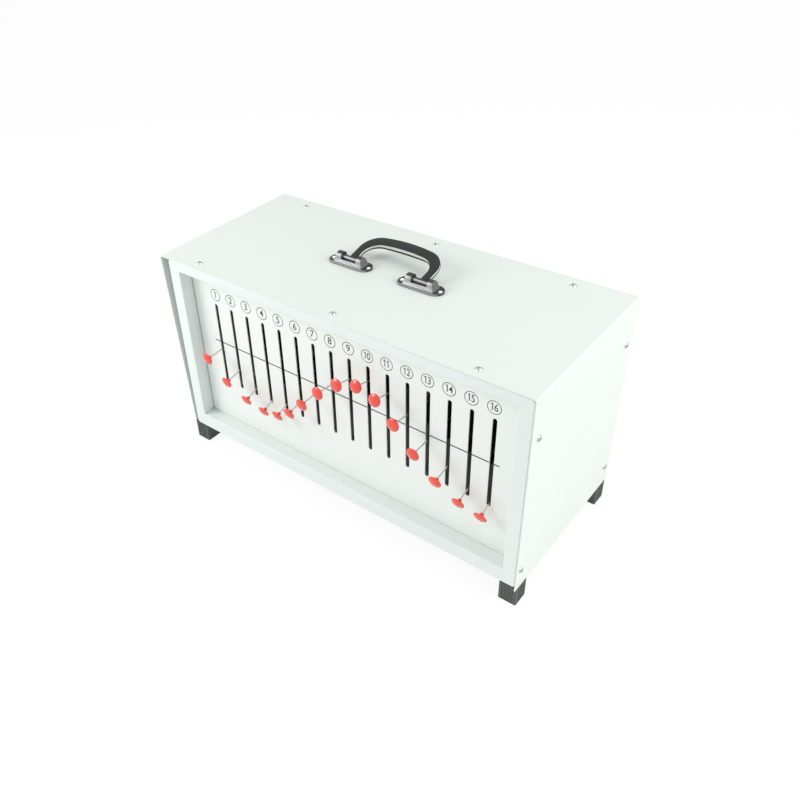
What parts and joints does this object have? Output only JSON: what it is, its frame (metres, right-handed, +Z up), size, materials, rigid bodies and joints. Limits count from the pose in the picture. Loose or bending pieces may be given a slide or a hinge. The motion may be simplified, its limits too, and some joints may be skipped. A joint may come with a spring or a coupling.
{
  "type": "wave motion demonstrator",
  "caption": "Hand-cranked wave model: a white sheet-steel case with a slotted front panel, red-capped swinging arms in a row and a carrying handle on top.",
  "frame": {"origin": "on the table under the middle of the whole apparatus, crank and caps included", "axes": "+X along the row of arms to the apparatus's right, away from the crank; the slotted front faces -Y; +Z up"},
  "size_m": [0.5374, 0.227, 0.2938],
  "materials": {
    "case_paint": "eggshell enamel on folded sheet steel",
    "frame_paint": "eggshell enamel, faintly green",
    "panel_paint": "smooth enamel with printed circles and line",
    "foot_rubber": "ribbed moulded rubber",
    "zinc_steel": "bright zinc plating",
    "screw_steel": "nickel-plated heads",
    "rivet_alloy": "plain",
    "bush_bronze": "sintered bronze",
    "bright_steel": "ground bright steel",
    "mount_metal": "grey enamel on a pressed steel mount",
    "bright_screw": "bright plated",
    "handle_plastic": "soft sheen moulding",
    "handle_strip": "pale strip",
    "disc_plastic": "turned nylon",
    "knob_plastic": "black moulding",
    "arm_steel": "drawn wire brazed to a steel blade and tube",
    "cap_plastic": "red moulding"
  },
  "bodies": {
    "case": {"cover": "case_paint", "front_frame": "frame_paint", "front_panel": "panel_paint", "base_tray": "case_paint", "back_panel": "case_paint", "feet": "foot_rubber", "foot_screws": "zinc_steel", "case_screws": "screw_steel", "bearing_bracket_left": "zinc_steel", "bearing_bracket_right": "zinc_steel", "bracket_rivets": "rivet_alloy", "shaft_bushes": "bush_bronze", "pivot_rod": "bright_steel", "pivot_rod_nuts": "zinc_steel", "handle_mount_left": "mount_metal", "handle_mount_right": "mount_metal", "handle_mount_screws": "bright_screw"},
    "camshaft": {"drive_shaft": "bright_steel", "eccentric_discs": "disc_plastic", "shaft_collars": "zinc_steel", "crank_arm": "zinc_steel", "crank_set_screw": "screw_steel", "knob_spindle": "bright_steel"},
    "knob": {"crank_knob": "knob_plastic"},
    "handle": {"handle_grip": "handle_plastic", "handle_core": "handle_strip", "handle_barrels": "mount_metal"},
    "wave_arm_01": {"arm_01": "arm_steel", "cap_01": "cap_plastic"},
    "wave_arm_02": {"arm_02": "arm_steel", "cap_02": "cap_plastic"},
    "wave_arm_03": {"arm_03": "arm_steel", "cap_03": "cap_plastic"},
    "wave_arm_04": {"arm_04": "arm_steel", "cap_04": "cap_plastic"},
    "wave_arm_05": {"arm_05": "arm_steel", "cap_05": "cap_plastic"},
    "wave_arm_06": {"arm_06": "arm_steel", "cap_06": "cap_plastic"},
    "wave_arm_07": {"arm_07": "arm_steel", "cap_07": "cap_plastic"},
    "wave_arm_08": {"arm_08": "arm_steel", "cap_08": "cap_plastic"},
    "wave_arm_09": {"arm_09": "arm_steel", "cap_09": "cap_plastic"},
    "wave_arm_10": {"arm_10": "arm_steel", "cap_10": "cap_plastic"},
    "wave_arm_11": {"arm_11": "arm_steel", "cap_11": "cap_plastic"},
    "wave_arm_12": {"arm_12": "arm_steel", "cap_12": "cap_plastic"},
    "wave_arm_13": {"arm_13": "arm_steel", "cap_13": "cap_plastic"},
    "wave_arm_14": {"arm_14": "arm_steel", "cap_14": "cap_plastic"},
    "wave_arm_15": {"arm_15": "arm_steel", "cap_15": "cap_plastic"},
    "wave_arm_16": {"arm_16": "arm_steel", "cap_16": "cap_plastic"}
  },
  "joints": [
    {"name": "crank_spin", "type": "hinge", "parent": "case", "child": "camshaft", "pos_m": [0, 0.01209, 0.12919], "axis": [1, 0, 0], "continuous": true},
    {"name": "knob_spin", "type": "hinge", "parent": "camshaft", "child": "knob", "pos_m": [-0.25, 0.05305, 0.10051], "axis": [1, 0, 0], "continuous": true},
    {"name": "handle_swing", "type": "hinge", "parent": "case", "child": "handle", "pos_m": [0.03, 0.00602, 0.278], "axis": [1, 0, 0], "range_deg": [-14, 135]},
    {"name": "arm_01_swing", "type": "hinge", "parent": "case", "child": "wave_arm_01", "pos_m": [-0.15542, 0.05702, 0.1632], "axis": [1, 0, 0], "range_deg": [-17.27, 18.52]},
    {"name": "arm_02_swing", "type": "hinge", "parent": "case", "child": "wave_arm_02", "pos_m": [-0.13042, 0.05702, 0.1632], "axis": [1, 0, 0], "range_deg": [-26.3, 9.5]},
    {"name": "arm_03_swing", "type": "hinge", "parent": "case", "child": "wave_arm_03", "pos_m": [-0.10542, 0.05702, 0.1632], "axis": [1, 0, 0], "range_deg": [-33.08, 2.72]},
    {"name": "arm_04_swing", "type": "hinge", "parent": "case", "child": "wave_arm_04", "pos_m": [-0.08042, 0.05702, 0.1632], "axis": [1, 0, 0], "range_deg": [-35.79, 0.01]},
    {"name": "arm_05_swing", "type": "hinge", "parent": "case", "child": "wave_arm_05", "pos_m": [-0.05542, 0.05702, 0.1632], "axis": [1, 0, 0], "range_deg": [-33.7, 2.1]},
    {"name": "arm_06_swing", "type": "hinge", "parent": "case", "child": "wave_arm_06", "pos_m": [-0.03042, 0.05702, 0.1632], "axis": [1, 0, 0], "range_deg": [-27.39, 8.41]},
    {"name": "arm_07_swing", "type": "hinge", "parent": "case", "child": "wave_arm_07", "pos_m": [-0.00542, 0.05702, 0.1632], "axis": [1, 0, 0], "range_deg": [-18.52, 17.27]},
    {"name": "arm_08_swing", "type": "hinge", "parent": "case", "child": "wave_arm_08", "pos_m": [0.01958, 0.05702, 0.1632], "axis": [1, 0, 0], "range_deg": [-9.5, 26.3]},
    {"name": "arm_09_swing", "type": "hinge", "parent": "case", "child": "wave_arm_09", "pos_m": [0.04458, 0.05702, 0.1632], "axis": [1, 0, 0], "range_deg": [-2.72, 33.08]},
    {"name": "arm_10_swing", "type": "hinge", "parent": "case", "child": "wave_arm_10", "pos_m": [0.06958, 0.05702, 0.1632], "axis": [1, 0, 0], "range_deg": [-0.01, 35.79]},
    {"name": "arm_11_swing", "type": "hinge", "parent": "case", "child": "wave_arm_11", "pos_m": [0.09458, 0.05702, 0.1632], "axis": [1, 0, 0], "range_deg": [-2.1, 33.7]},
    {"name": "arm_12_swing", "type": "hinge", "parent": "case", "child": "wave_arm_12", "pos_m": [0.11958, 0.05702, 0.1632], "axis": [1, 0, 0], "range_deg": [-8.41, 27.39]},
    {"name": "arm_13_swing", "type": "hinge", "parent": "case", "child": "wave_arm_13", "pos_m": [0.14458, 0.05702, 0.1632], "axis": [1, 0, 0], "range_deg": [-17.27, 18.52]},
    {"name": "arm_14_swing", "type": "hinge", "parent": "case", "child": "wave_arm_14", "pos_m": [0.16958, 0.05702, 0.1632], "axis": [1, 0, 0], "range_deg": [-26.3, 9.5]},
    {"name": "arm_15_swing", "type": "hinge", "parent": "case", "child": "wave_arm_15", "pos_m": [0.19458, 0.05702, 0.1632], "axis": [1, 0, 0], "range_deg": [-33.08, 2.72]},
    {"name": "arm_16_swing", "type": "hinge", "parent": "case", "child": "wave_arm_16", "pos_m": [0.21958, 0.05702, 0.1632], "axis": [1, 0, 0], "range_deg": [-35.79, 0.01]}
  ],
  "couplings": [
    {"joint": "arm_07_swing", "follows": "arm_01_swing", "ratio": -1},
    {"joint": "arm_08_swing", "follows": "arm_02_swing", "ratio": -1},
    {"joint": "arm_09_swing", "follows": "arm_03_swing", "ratio": -1},
    {"joint": "arm_10_swing", "follows": "arm_04_swing", "ratio": -1},
    {"joint": "arm_11_swing", "follows": "arm_05_swing", "ratio": -1},
    {"joint": "arm_12_swing", "follows": "arm_06_swing", "ratio": -1},
    {"joint": "arm_13_swing", "follows": "arm_01_swing", "ratio": 1},
    {"joint": "arm_14_swing", "follows": "arm_02_swing", "ratio": 1},
    {"joint": "arm_15_swing", "follows": "arm_03_swing", "ratio": 1},
    {"joint": "arm_16_swing", "follows": "arm_04_swing", "ratio": 1}
  ]
}
